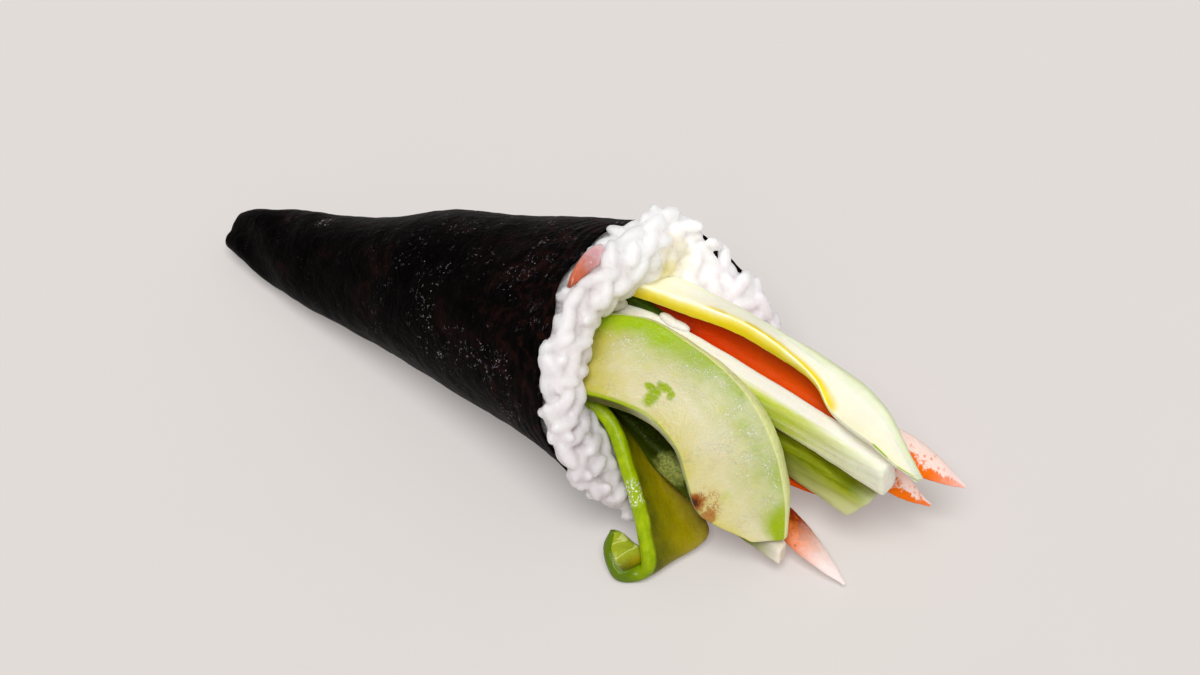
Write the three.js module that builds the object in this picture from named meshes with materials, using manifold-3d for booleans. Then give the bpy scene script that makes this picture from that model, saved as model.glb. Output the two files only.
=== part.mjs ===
// Temaki hand roll: a nori cone of sushi rice, avocado, cucumber and cooked prawns, lying on its side.
// Millimetres, +Z up. The cone points along -X and its mouth opens towards +X. It rests on z = 0.
import * as THREE from "three";
import Module from "manifold-3d";

const wasm = await Module();
wasm.setup();

// ---- driving dimensions ----

const TIP = new THREE.Vector3(-108, 0, 4.4); // centre of the cone's closed tip
const MOUTH = new THREE.Vector3(0, 0, 28.6); // where the cone's axis crosses x = 0
const FRAME_SHIFT = new THREE.Vector3(26.7, 0.8, 0); // puts the middle of the whole roll over the origin
const NORI_THICK = 0.8;
const GAP = 0.3; // clearance left between one piece and the next
const RIM_AT = 108; // mean distance of the nori's rim from the tip, along the axis
const RIM_SLANT = 9.5; // how far the rim leans back on the side that faces up
const RICE_START = 19; // the rice fills the cone from here to the mouth
const GRAIN_LENGTH = 6.8;
const GRAIN_WIDTH = 3.3;
const GRAIN_SPACING = 4.8; // least distance between the middles of two grains on the mouth's face

// Cone radius against the distance from the tip.
const CONE_PROFILE = [
  [-4.3, 2.9],
  [-3.2, 4.2],
  [0, 5.1],
  [8, 7.5],
  [18, 10.3],
  [32, 13.0],
  [50, 16.9],
  [70, 21.1],
  [90, 25.2],
  [108, 29.2],
  [122, 32.6],
];

const UP = new THREE.Vector3(0, 0, 1);
const AXIS = MOUTH.clone().sub(TIP).normalize();
const ACROSS = new THREE.Vector3(0, 1, 0);
const RAISED = new THREE.Vector3().crossVectors(AXIS, ACROSS);
const CUT_FACE_LOOKS = new THREE.Vector3(0.38, -0.56, 0.73); // the way the avocado's cut faces look

const radians = THREE.MathUtils.degToRad;
const lerp = THREE.MathUtils.lerp;

// ---- meshes from rings ----

function point(x, y, z) {
  return new THREE.Vector3(x, y, z);
}

function curveThrough(list) {
  return new THREE.CatmullRomCurve3(
    list.map(([x, y, z]) => point(x, y, z)),
    false,
    "centripetal",
  );
}

// A closed solid through rings of equal length, capped at both ends, or joined end to end as a hoop.
function loft(rings, hoop = false) {
  const count = rings[0].length;
  const places = [];
  rings.forEach((ring) => ring.forEach((p) => places.push(p.x, p.y, p.z)));
  const faces = [];
  const bands = hoop ? rings.length : rings.length - 1;
  for (let r = 0; r < bands; r += 1) {
    const below = r * count;
    const above = ((r + 1) % rings.length) * count;
    for (let i = 0; i < count; i += 1) {
      const j = (i + 1) % count;
      faces.push(below + i, below + j, above + j, below + i, above + j, above + i);
    }
  }
  const ends = hoop ? [] : [rings[0], rings[rings.length - 1]];
  ends.forEach((ring, end) => {
    const middle = places.length / 3;
    const sum = ring.reduce((total, p) => total.add(p), point(0, 0, 0));
    sum.divideScalar(count);
    places.push(sum.x, sum.y, sum.z);
    const start = end ? (rings.length - 1) * count : 0;
    for (let i = 0; i < count; i += 1) {
      const a = start + i;
      const b = start + ((i + 1) % count);
      faces.push(...(end ? [a, b, middle] : [b, a, middle]));
    }
  });
  return solid(places, faces);
}

function signedVolume(places, faces) {
  let total = 0;
  const corner = (i) => point(places[3 * i], places[3 * i + 1], places[3 * i + 2]);
  for (let f = 0; f < faces.length; f += 3) {
    const a = corner(faces[f]);
    total += a.dot(corner(faces[f + 1]).cross(corner(faces[f + 2])));
  }
  return total;
}

function solid(places, faces) {
  const turned = signedVolume(places, faces) < 0;
  const triVerts = new Uint32Array(faces);
  for (let f = 0; turned && f < faces.length; f += 3) {
    [triVerts[f + 1], triVerts[f + 2]] = [triVerts[f + 2], triVerts[f + 1]];
  }
  return new wasm.Manifold(
    new wasm.Mesh({ numProp: 3, vertProperties: new Float32Array(places), triVerts }),
  );
}

function union(solids) {
  return solids.reduce((all, next) => all.add(next));
}

// The largest separate body of a solid, without crumbs that a cut left behind.
function mainBody(shape) {
  const bodies = shape.decompose();
  return bodies.reduce((best, next) => (next.volume() > best.volume() ? next : best));
}

// ---- the cone ----

function profileRadius(s) {
  const last = CONE_PROFILE.length - 1;
  if (s <= CONE_PROFILE[0][0]) return CONE_PROFILE[0][1];
  for (let i = 0; i < last; i += 1) {
    const [s0, r0] = CONE_PROFILE[i];
    const [s1, r1] = CONE_PROFILE[i + 1];
    if (s <= s1) return lerp(r0, r1, (s - s0) / (s1 - s0));
  }
  return CONE_PROFILE[last][1];
}

function bump(value, centre, width) {
  return Math.exp(-(((value - centre) / width) ** 2));
}

// Degrees round the axis, 0 on top and 90 on the +Y side, kept within half a turn of zero.
function wrapped(degrees) {
  return ((degrees + 540) % 360) - 180;
}

// The wrap is not a true cone: it swells over the filling and dents near the tip.
function coneRadius(s, degrees) {
  const a = radians(degrees);
  const top = bump(wrapped(degrees - 45), 0, 50);
  const swell = (2.5 * bump(s, 52, 13) + 2 * bump(s, 4, 10) + 1.3 * bump(s, 78, 17)) * top;
  const flare = 2.4 * bump(wrapped(degrees - 33), 0, 26) - 1.1 * bump(wrapped(degrees - 85), 0, 35);
  const open = 1 - THREE.MathUtils.smoothstep(s, 97, 108);
  const flat = (1.2 + 1.5 * bump(s, 52, 18) + 2 * bump(s, 84, 17)) * open;
  const tuck = -flat * bump(wrapped(degrees + 127), 0, 34);
  const creases = 0.25 * Math.sin(3 * a + s / 17) + 0.18 * Math.sin(5 * a - s / 11);
  const crumple = 0.45 * bump(s, 4, 12) * Math.sin(4 * a + s / 3);
  return profileRadius(s) + swell + flare * bump(s, 116, 16) + tuck + creases + crumple;
}

function onCone(s, degrees, radius, floor) {
  const a = radians(degrees);
  const p = TIP.clone()
    .addScaledVector(AXIS, s)
    .addScaledVector(RAISED, radius * Math.cos(a))
    .addScaledVector(ACROSS, radius * Math.sin(a));
  p.z = Math.max(p.z, floor);
  return p;
}

// Where the mouth's rice ends, and where the nori's torn rim ends.
function mouthAt(degrees) {
  return RIM_AT - RIM_SLANT * Math.cos(radians(degrees + 30));
}

function rimAt(degrees) {
  const a = radians(degrees);
  const shortSide = -6.5 * bump(wrapped(degrees + 132), 0, 34);
  const bite = -2.6 * bump(wrapped(degrees + 9), 0, 16) - 1.8 * bump(wrapped(degrees + 76), 0, 20);
  const notch = -6 * bump(wrapped(degrees - 20), 0, 22) - 2 * bump(wrapped(degrees - 60), 0, 18);
  const torn = 0.7 * Math.sin(5 * a + 0.6) + 0.5 * Math.sin(11 * a + 2.1);
  return mouthAt(degrees) + shortSide + bite + notch + torn;
}

const NORI_SIDES = 44;
const NORI_STEPS = [0.06, 0.13, 0.22, 0.31, 0.42, 0.53, 0.63, 0.74, 0.84, 0.93]; // shares of the rim
const TIP_STATIONS = [-4.3, -3.2, 0];
const AROUND = Array.from({ length: NORI_SIDES }, (_, i) => (360 * i) / NORI_SIDES);

// The band of the nori next to its rim, grown by the gap, which trims the grains that reach it.
function rimGuard() {
  const start = NORI_STEPS[NORI_STEPS.length - 1];
  const ringAt = (share, extra, depth) =>
    AROUND.map((d) => {
      const s = share * rimAt(d) + extra;
      return onCone(s, d, coneRadius(s, d) - depth, -GAP);
    });
  const inside = NORI_THICK + GAP;
  const corners = [
    ringAt(start, 0, -GAP),
    ringAt(1, GAP, -GAP),
    ringAt(1, GAP, inside),
    ringAt(start, 0, inside),
  ];
  return loft(corners, true);
}

function noriCone() {
  const outer = (s, d) => onCone(s, d, coneRadius(s, d), 0);
  const inner = (s, d) => onCone(s, d, coneRadius(s, d) - NORI_THICK, NORI_THICK);
  const rings = TIP_STATIONS.map((s) => AROUND.map((d) => outer(s, d)));
  NORI_STEPS.forEach((f) => rings.push(AROUND.map((d) => outer(f * rimAt(d), d))));
  rings.push(AROUND.map((d) => outer(rimAt(d), d)));
  rings.push(AROUND.map((d) => inner(rimAt(d), d)));
  NORI_STEPS.slice(1)
    .reverse()
    .forEach((f) => rings.push(AROUND.map((d) => inner(f * rimAt(d), d))));
  return loft(rings);
}

// ---- fillings ----

// The last part of a piece thins to its free end: `share` of its length, down to root `least`.
function endFade(t, share, least) {
  return Math.sqrt(Math.min(1, (1 - t) / share + least));
}

// How far a growing piece reaches past its two ends.
function reachAt(i, steps, grow) {
  return (i === steps ? grow : 0) - (i === 0 ? grow : 0);
}

// A crescent slice between an outer (skin side) curve and an inner (stone side) curve.
// `skin` and `pit` are its thickness at the two edges.
function slice({ outer, inner, skin, pit, steps = 14 }, grow = 0) {
  const outside = curveThrough(outer);
  const inside = curveThrough(inner);
  const rings = [];
  for (let i = 0; i <= steps; i += 1) {
    const t = i / steps;
    const o = outside.getPointAt(t);
    const n = inside.getPointAt(t);
    const along = outside.getTangentAt(t).add(inside.getTangentAt(t)).normalize();
    const width = o.clone().sub(n);
    const u = width.clone().normalize();
    const face = new THREE.Vector3().crossVectors(along, u).normalize();
    if (face.dot(CUT_FACE_LOOKS) < 0) face.negate();
    const ts = skin * endFade(t, 0.16, 0.12);
    const tp = pit * Math.min(1, (1 - t) / 0.35 + 0.15);
    const w = width.length();
    const reach = reachAt(i, steps, grow);
    const at = (across, depth) =>
      n
        .clone()
        .addScaledVector(u, across)
        .addScaledVector(face, depth)
        .addScaledVector(along, reach);
    rings.push([
      at(0, grow),
      at(0.35 * w, grow),
      at(0.7 * w, grow),
      at(w - 0.3, grow),
      at(w + 0.12 * ts + grow, -0.2 * ts),
      at(w + 0.2 * ts + grow, -0.5 * ts),
      at(w + 0.12 * ts + grow, -0.8 * ts),
      at(w - 0.3, -ts - grow),
      at(0.6 * w, -lerp(tp, ts, 0.6) - grow),
      at(0.25 * w, -lerp(tp, ts, 0.25) - grow),
      at(0, -tp - grow),
      at(-0.15 * tp - grow, -0.5 * tp),
    ]);
  }
  return loft(rings);
}

// A stick swept along a curve. `half` is [half-width, half-height]; `square` sharpens its corners;
// `scale(t)` shrinks it along its length; `roll` turns the section; `slant` leans its free end.
function stick(shape, grow = 0) {
  const { path, half, square = 5, sides = 12, steps = 8, roll = 0, slant = 0 } = shape;
  const scale = shape.scale ?? (() => 1);
  const turn = radians(roll);
  const line = curveThrough(path);
  const rings = [];
  for (let i = 0; i <= steps; i += 1) {
    const t = i / steps;
    const centre = line.getPointAt(t);
    const along = line.getTangentAt(t);
    const side = new THREE.Vector3().crossVectors(along, UP).normalize();
    const top = new THREE.Vector3().crossVectors(side, along);
    const size = scale(t);
    const ring = [];
    for (let k = 0; k < sides; k += 1) {
      const a = (2 * Math.PI * (k + 0.5)) / sides;
      const c = Math.cos(a);
      const s = Math.sin(a);
      const round = (Math.abs(c) ** square + Math.abs(s) ** square) ** (-1 / square);
      const x = (half[0] * size + grow) * c * round;
      const y = (half[1] * size + grow) * s * round;
      const leaning = i === steps ? slant * y : 0;
      ring.push(
        centre
          .clone()
          .addScaledVector(side, x * Math.cos(turn) - y * Math.sin(turn))
          .addScaledVector(top, x * Math.sin(turn) + y * Math.cos(turn))
          .addScaledVector(along, reachAt(i, steps, grow) + leaning),
      );
    }
    rings.push(ring);
  }
  return loft(rings);
}

// A ribbon: `edge` is its near edge, `widths` the vector across it at the same stations.
function ribbon({ edge, widths, thick, steps = 18 }, grow = 0) {
  const near = curveThrough(edge);
  const span = curveThrough(widths);
  const rings = [];
  for (let i = 0; i <= steps; i += 1) {
    const t = i / steps;
    const p = near.getPoint(t);
    const w = span.getPoint(t);
    const along = near.getTangent(t);
    const u = w.clone().normalize();
    const face = new THREE.Vector3().crossVectors(along, u).normalize();
    const width = w.length();
    const half = 0.5 * thick * endFade(t, 0.1, 0.2) + grow;
    const reach = reachAt(i, steps, grow);
    const at = (across, depth) =>
      p
        .clone()
        .addScaledVector(u, across)
        .addScaledVector(face, depth)
        .addScaledVector(along, reach);
    rings.push([
      at(-0.5 - grow, -0.4 * half),
      at(-0.5 - grow, 0.4 * half),
      at(0.4, half),
      at(0.5 * width, half),
      at(width - 0.3, 0.8 * half),
      at(width + grow, 0),
      at(width - 0.3, -0.8 * half),
      at(0.5 * width, -half),
      at(0.4, -half),
    ]);
  }
  return loft(rings);
}

const AVOCADO_FRONT = {
  outer: [
    [-27, -5.5, 33],
    [-6.8, 0.4, 40.1],
    [6.9, 0.9, 38.6],
    [20, -1.4, 35],
    [28, -4.2, 28],
    [33, -7.2, 18.5],
    [35.2, -10, 9.6],
  ],
  inner: [
    [-19, -18, 29.5],
    [-4, -17, 34.3],
    [6, -15.7, 33.6],
    [13, -16.3, 29.2],
    [16.6, -17.6, 22.5],
    [20.3, -18.4, 15.9],
    [30.2, -14.6, 10],
  ],
  skin: 6.6,
  pit: 3.6,
};

const AVOCADO_BACK = {
  outer: [
    [-24, 15.6, 35.6],
    [-6.9, 15.7, 38],
    [16.6, 12, 41.7],
    [33.3, 11.4, 39],
    [44.9, 9, 37],
    [53.1, 5.7, 31.4],
    [57, 4.3, 28.8],
  ],
  inner: [
    [-21, 8, 38],
    [-2.5, 7, 42.6],
    [14.7, 7.5, 43.9],
    [29.6, 7.2, 38.4],
    [36, 4, 35.2],
    [46, 2, 34.6],
    [52, 2.2, 31.2],
    [56.4, 3, 29.5],
  ],
  skin: 3.6,
  pit: 2.9,
};

const AVOCADO_CURL = {
  edge: [
    [-15, -15, 28.5],
    [-5, -14.6, 25.8],
    [3.5, -19.7, 18.2],
    [9.3, -23.7, 9.7],
    [13, -28, 3.1],
    [9.4, -31.2, 1.7],
    [4.8, -28.8, 4.9],
    [4.9, -26.6, 8.6],
  ],
  widths: [
    [0, 3, -8],
    [1.2, 3.8, -8.6],
    [5, 8.8, -8.8],
    [5.8, 13.4, -4.5],
    [5, 15, -0.6],
    [2.6, 9.6, 0.4],
    [4.3, 4.9, -0.5],
    [1.4, 1, -0.5],
  ],
  thick: 3.1,
};

const CUCUMBER_CENTER = {
  path: [
    [-40, 4, 27],
    [-10, 5, 31.2],
    [25, 4, 28.9],
    [50, 3.2, 25.4],
  ],
  half: [2.6, 3.8],
  slant: -0.25,
};

const CUCUMBER_RIGHT = {
  path: [
    [-34, 3.5, 16],
    [-6, 4.7, 20.2],
    [22, 4.7, 18.1],
    [45, 3.9, 14.2],
  ],
  half: [3.2, 4.5],
  slant: 0.45,
};

const CUCUMBER_LEFT = {
  path: [
    [-34, -3, 27],
    [-4, -8.4, 20],
    [14, -11.2, 14.4],
    [34.9, -10.3, 5.4],
  ],
  half: [2.8, 2.8],
  roll: 12,
  slant: -0.5,
  scale: (t) => 1 - 0.35 * t ** 4,
};

const CUCUMBER_INNER = {
  path: [
    [-28, 6.6, 33.4],
    [-16, 7.2, 35.2],
    [-6.2, 8, 34.4],
  ],
  half: [1.8, 2.1],
  sides: 10,
  steps: 6,
  scale: (t) => 1.05 - 0.8 * t * t,
};

const PRAWN_BACK = {
  body: {
    path: [
      [-36, 8, 24],
      [-15, 11.2, 31.5],
      [0, 12, 30.6],
      [20, 11.5, 28.2],
      [34, 10.8, 26.2],
      [44, 11.2, 23],
    ],
    half: [4.3, 4],
    square: 2.6,
    scale: (t) => 1 - 0.45 * t ** 5,
  },
  upper: {
    path: [
      [38, 10.8, 25],
      [45.4, 13.4, 23],
      [52, 15.8, 18.6],
      [59.4, 18.5, 14],
    ],
    half: [3.3, 1.2],
    roll: -22,
  },
  lower: {
    path: [
      [38, 10.2, 24],
      [46.2, 8.8, 19.2],
      [50.6, 9.7, 16],
      [55.2, 12, 12],
    ],
    half: [2.7, 1.2],
    roll: -20,
  },
};

const PRAWN_FRONT = {
  body: {
    path: [
      [-30, -4, 15],
      [-10, -3, 12.2],
      [8, -2.4, 11.6],
      [24, -1.4, 9.4],
    ],
    half: [4, 3.5],
    square: 2.6,
    scale: (t) => 1 - 0.35 * t ** 4,
  },
  upper: {
    path: [
      [18, -2, 10],
      [31.5, -4.3, 7],
      [39.5, -5.9, 4.4],
      [47.8, -7.5, 1.7],
    ],
    half: [3.1, 1.3],
    roll: -8,
  },
  lower: {
    path: [
      [18, 1.2, 11],
      [26, 3.4, 11.2],
      [34.8, 3.6, 9.8],
    ],
    half: [2, 1.1],
    roll: 0,
  },
};

// Tail fans narrow to a point over their outer part.
function fanScale(t) {
  const past = Math.max(0, t - 0.45) / 0.57;
  return Math.max(0.14, 1 - past * past);
}

function prawn({ body, upper, lower }, grow = 0) {
  const fan = { square: 2.2, sides: 8, steps: 8, scale: fanScale };
  return union([
    stick({ ...body, steps: 9 }, grow),
    stick({ ...fan, ...upper }, grow),
    stick({ ...fan, ...lower }, grow),
  ]);
}

// ---- rice ----

function seeded(seed) {
  let state = seed;
  return () => {
    state = (state * 1664525 + 1013904223) % 4294967296;
    return state / 4294967296;
  };
}

// How far the rice's face stands out of the mouth, against the share of the radius from the axis.
function riceFace(share) {
  const ring = 1.6 * bump(share, 0.86, 0.16);
  const hollow = -11 * bump(share, 0, 0.5);
  return ring + hollow;
}

const RICE_START_RADIUS = 7;
const FACE_RINGS = [0.985, 0.84, 0.6, 0.3]; // shares of the mouth's radius

function riceSurface(degrees, share) {
  const bulge = 1.4 * bump(wrapped(degrees - 100), 0, 30) - 3 * bump(wrapped(degrees - 57), 0, 22);
  const farSide = bulge * bump(share, 1, 0.3);
  const nearLip = 4 * bump(wrapped(degrees + 45), 0, 45) * bump(share, 0.68, 0.2);
  const topLip = 3.5 * bump(wrapped(degrees - 8), 0, 28) * bump(share, 0.72, 0.25);
  const crest = 1.8 * bump(wrapped(degrees - 33), 0, 20) * bump(share, 1, 0.25);
  const s = mouthAt(degrees) + 0.6 + farSide + nearLip + topLip + riceFace(share);
  const radius = share * (coneRadius(s, degrees) - NORI_THICK - GAP) + crest;
  return onCone(s, degrees, radius, NORI_THICK + GAP);
}

function riceCore() {
  const fill = (s, d) => onCone(s, d, coneRadius(s, d) - NORI_THICK - GAP, NORI_THICK + GAP);
  const rings = [AROUND.map((d) => onCone(RICE_START, d, RICE_START_RADIUS, NORI_THICK + GAP))];
  NORI_STEPS.slice(2).forEach((f) => rings.push(AROUND.map((d) => fill(f * rimAt(d), d))));
  FACE_RINGS.forEach((share) => rings.push(AROUND.map((d) => riceSurface(d, share))));
  return loft(rings);
}

// One plump grain with its middle at `centre`, lying along `along`: a five-sided bead with two points.
function grain(centre, along, size) {
  const sides = 5;
  const shoulder = 0.58;
  const side = new THREE.Vector3().crossVectors(along, point(0.31, 0.52, 0.79)).normalize();
  const top = new THREE.Vector3().crossVectors(side, along);
  const half = 0.5 * GRAIN_LENGTH * size;
  const radius = 0.5 * GRAIN_WIDTH * size;
  const at = (far, wide, a) =>
    centre
      .clone()
      .addScaledVector(along, far * half)
      .addScaledVector(side, wide * radius * Math.cos(a))
      .addScaledVector(top, 0.85 * wide * radius * Math.sin(a));
  const places = [...at(-1, 0, 0)];
  [-shoulder, shoulder].forEach((far) => {
    for (let k = 0; k < sides; k += 1) {
      places.push(...at(far, 1.05, (2 * Math.PI * k) / sides + far));
    }
  });
  places.push(...at(1, 0, 0));
  const last = 2 * sides + 1;
  const faces = [];
  for (let k = 0; k < sides; k += 1) {
    const a = 1 + k;
    const b = 1 + ((k + 1) % sides);
    faces.push(0, b, a, a, b, b + sides, a, b + sides, a + sides, a + sides, b + sides, last);
  }
  return solid(places, faces);
}

// Grains spread over the rice's face.
function faceGrains(tries) {
  const random = seeded(20817);
  const grains = [];
  const middles = [];
  for (let i = 0; i < tries; i += 1) {
    const degrees = 360 * random();
    const share = Math.sqrt(lerp(0.3, 0.92, random()));
    const centre = riceSurface(degrees, share);
    if (middles.some((other) => other.distanceTo(centre) < GRAIN_SPACING)) continue;
    middles.push(centre.clone());
    const next = riceSurface(degrees + 2, share).sub(centre).normalize();
    const outward = riceSurface(degrees, share + 0.03).sub(centre).normalize();
    const turn = Math.PI * random();
    const along = next.multiplyScalar(Math.cos(turn)).addScaledVector(outward, Math.sin(turn));
    along.addScaledVector(AXIS, 0.5 * (random() - 0.5)).normalize();
    centre.addScaledVector(AXIS, 0.2 + 0.7 * random());
    grains.push(grain(centre, along, 0.9 + 0.15 * random()));
  }
  return grains;
}

// Grains on the stretch of the heap that the short side of the nori leaves bare.
function sideGrains(count) {
  const random = seeded(5519);
  const grains = [];
  for (let i = 0; i < count; i += 1) {
    const degrees = -100 - 62 * ((i * 0.618) % 1);
    const s = lerp(rimAt(degrees) + 2.6, mouthAt(degrees) + 0.5, (i + 0.5) / count);
    const centre = onCone(s, degrees, coneRadius(s, degrees) - NORI_THICK - 1.2, 2.2);
    const along = AXIS.clone().multiplyScalar(random() - 0.5);
    along.addScaledVector(ACROSS, random() - 0.5).addScaledVector(RAISED, random() - 0.5);
    grains.push(grain(centre, along.normalize(), 0.95));
  }
  return grains;
}

// ---- the flake at the rim ----

function flake(grow = 0) {
  const rings = [];
  for (let i = 0; i <= 8; i += 1) {
    const t = i / 8;
    const degrees = lerp(3, -20, t);
    const wide = 1.7 * Math.sin(Math.PI * lerp(0.15, 0.96, t) ** 0.8) + grow;
    const s = mouthAt(degrees) - 1;
    const centre = onCone(s, degrees, 0.985 * coneRadius(s, degrees), 0);
    const a = radians(degrees);
    const outward = RAISED.clone().multiplyScalar(Math.cos(a)).addScaledVector(ACROSS, Math.sin(a));
    const flat = outward.clone().multiplyScalar(0.86).addScaledVector(AXIS, -0.5).normalize();
    const normal = outward.clone().multiplyScalar(0.5).addScaledVector(AXIS, 0.86).normalize();
    const at = (across, depth) =>
      centre.clone().addScaledVector(flat, across).addScaledVector(normal, depth);
    const thin = 0.6 + grow;
    rings.push([
      at(-wide, 1.2 - thin),
      at(-wide, 1.2 + 0.5 * thin),
      at(0, 1.2 + thin),
      at(wide, 1.2 + 0.5 * thin),
      at(wide, 1.2 - thin),
      at(0, 1.2 - thin),
    ]);
  }
  return loft(rings);
}

// ---- assembly ----

// Each piece is cut back by the ones placed before it, so that no two touch.
const placed = [rimGuard()];

function place(make) {
  const shape = placed.reduce((left, earlier) => left.subtract(earlier), make(0));
  placed.push(make(GAP));
  return mainBody(shape);
}

const stuckGrains = (grow) =>
  union([
    grain(point(-4.8, 6.2, 35.8), point(0.9, -0.35, 0.1).normalize(), 1 + grow / 3),
    grain(point(-0.2, 6, 35.4), point(0.9, 0.3, -0.1).normalize(), 0.9 + grow / 3),
  ]);

const shapes = {
  nori_cone: noriCone(),
  cucumber_center: place((grow) => stick(CUCUMBER_CENTER, grow).add(stuckGrains(grow))),
  cucumber_right: place((grow) => stick(CUCUMBER_RIGHT, grow)),
  cucumber_left: place((grow) => stick(CUCUMBER_LEFT, grow)),
  prawn_back: place((grow) => prawn(PRAWN_BACK, grow)),
  prawn_front: place((grow) => prawn(PRAWN_FRONT, grow)),
  avocado_front: place((grow) => slice(AVOCADO_FRONT, grow)),
  avocado_back: place((grow) => slice(AVOCADO_BACK, grow)),
  avocado_curl: place((grow) => ribbon(AVOCADO_CURL, grow)),
  cucumber_inner: place((grow) => stick(CUCUMBER_INNER, grow)),
  prawn_flake: place((grow) => flake(grow)),
  sushi_rice: place(() => union([riceCore(), ...faceGrains(900), ...sideGrains(10)])),
};

const LOOKS = {
  nori_cone: { color: 0x0d0605, roughness: 0.5 },
  sushi_rice: { color: 0xece8e4, roughness: 0.45 },
  avocado_front: { color: 0xded4a4, roughness: 0.45 },
  avocado_back: { color: 0xf5f0d8, roughness: 0.45 },
  avocado_curl: { color: 0x96890e, roughness: 0.4 },
  cucumber_center: { color: 0xe0e6c0, roughness: 0.3 },
  cucumber_right: { color: 0x6f7a10, roughness: 0.35 },
  cucumber_left: { color: 0x76791e, roughness: 0.35 },
  cucumber_inner: { color: 0x3a4a0c, roughness: 0.35 },
  prawn_back: { color: 0xc84a10, roughness: 0.35 },
  prawn_front: { color: 0xc87848, roughness: 0.35 },
  prawn_flake: { color: 0xca8c82, roughness: 0.3 },
};

const roll = new THREE.Group();
Object.entries(shapes).forEach(([name, shape]) => {
  const { vertProperties, triVerts, numProp } = shape.getMesh();
  const places = new Float32Array((vertProperties.length / numProp) * 3);
  for (let v = 0; v < places.length / 3; v += 1) {
    places[3 * v] = vertProperties[v * numProp] + FRAME_SHIFT.x;
    places[3 * v + 1] = vertProperties[v * numProp + 1] + FRAME_SHIFT.y;
    places[3 * v + 2] = vertProperties[v * numProp + 2] + FRAME_SHIFT.z;
  }
  const geometry = new THREE.BufferGeometry();
  geometry.setAttribute("position", new THREE.BufferAttribute(places, 3));
  geometry.setIndex(new THREE.BufferAttribute(new Uint32Array(triVerts), 1));
  geometry.computeVertexNormals();
  const look = { metalness: 0, flatShading: true, ...LOOKS[name] };
  const mesh = new THREE.Mesh(geometry, new THREE.MeshStandardMaterial(look));
  mesh.name = name;
  roll.add(mesh);
});

export default roll;
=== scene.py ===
import math
from functools import reduce

import bmesh
import bpy
import numpy as np
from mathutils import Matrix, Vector, noise
from mathutils.bvhtree import BVHTree


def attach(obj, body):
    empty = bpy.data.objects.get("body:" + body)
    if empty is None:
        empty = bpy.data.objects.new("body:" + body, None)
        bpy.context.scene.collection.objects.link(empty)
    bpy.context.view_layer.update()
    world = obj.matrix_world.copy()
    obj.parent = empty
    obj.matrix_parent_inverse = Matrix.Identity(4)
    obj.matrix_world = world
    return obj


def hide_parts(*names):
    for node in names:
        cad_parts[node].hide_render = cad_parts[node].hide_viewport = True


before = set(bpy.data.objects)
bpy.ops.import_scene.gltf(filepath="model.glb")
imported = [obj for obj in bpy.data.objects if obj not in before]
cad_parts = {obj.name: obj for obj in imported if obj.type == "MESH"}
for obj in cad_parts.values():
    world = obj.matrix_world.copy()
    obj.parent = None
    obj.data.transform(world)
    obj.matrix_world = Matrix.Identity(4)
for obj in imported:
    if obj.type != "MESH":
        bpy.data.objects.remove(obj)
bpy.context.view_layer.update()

# A temaki hand roll: every solid of the frame is replaced by a finer piece of the same form.
# Lengths below are in millimetres; build_mesh() turns them into metres in the frame's own place.

MM = 0.001
FRAME_SHIFT = np.array([26.7, 0.8, 0.0])

# ---- the cone, with the dimensions of the solids ----

TIP = np.array([-108.0, 0.0, 4.4])
MOUTH = np.array([0.0, 0.0, 28.6])
NORI_THICK = 0.8
GAP = 0.3
RIM_AT = 108.0
RIM_SLANT = 9.5
CONE_PROFILE = [
    (-4.3, 2.9), (-3.2, 4.2), (0, 5.1), (8, 7.5), (18, 10.3), (32, 13.0),
    (50, 16.9), (70, 21.1), (90, 25.2), (108, 29.2), (122, 32.6),
]
UP = np.array([0.0, 0.0, 1.0])
ACROSS = np.array([0.0, 1.0, 0.0])
AXIS = (MOUTH - TIP) / np.linalg.norm(MOUTH - TIP)
RAISED = np.cross(AXIS, ACROSS)
CUT_FACE_LOOKS = np.array([0.38, -0.56, 0.73])


def unit(v):
    return v / np.maximum(np.linalg.norm(v, axis=-1, keepdims=True), 1e-9)


def bump(value, centre, width):
    return np.exp(-(((value - centre) / width) ** 2))


def hump(degrees, centre, width):
    """A bump round the axis about some degrees."""
    return bump((degrees - centre + 540) % 360 - 180, 0, width)


def smoothstep(x, low, high):
    t = np.clip((x - low) / (high - low), 0, 1)
    return t * t * (3 - 2 * t)


def cone_radius(s, degrees):
    """The cone's own form: swellings, a flattened side, creases and a crumpled tip."""
    a = np.radians(degrees)
    reach, radii = zip(*CONE_PROFILE)
    top = hump(degrees, 45, 50)
    swell = (2.5 * bump(s, 52, 13) + 2 * bump(s, 4, 10) + 1.3 * bump(s, 78, 17)) * top
    flare = 2.4 * hump(degrees, 33, 26) - 1.1 * hump(degrees, 85, 35)
    flat = (1.2 + 1.5 * bump(s, 52, 18) + 2 * bump(s, 84, 17)) * (1 - smoothstep(s, 97, 108))
    tuck = -flat * hump(degrees, -127, 34)
    creases = 0.25 * np.sin(3 * a + s / 17) + 0.18 * np.sin(5 * a - s / 11)
    crumple = 0.45 * bump(s, 4, 12) * np.sin(4 * a + s / 3)
    return np.interp(s, reach, radii) + swell + flare * bump(s, 116, 16) + tuck + creases + crumple


def on_cone(s, degrees, radius, floor=0.0):
    """Points at distance s from the tip, degrees round the axis from the top, radius off it."""
    s, degrees, radius = np.broadcast_arrays(s, degrees, radius)
    a = np.radians(degrees)[..., None]
    radius = radius[..., None]
    p = TIP + AXIS * s[..., None] + RAISED * radius * np.cos(a) + ACROSS * radius * np.sin(a)
    p[..., 2] = np.maximum(p[..., 2], floor)
    return p


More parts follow.
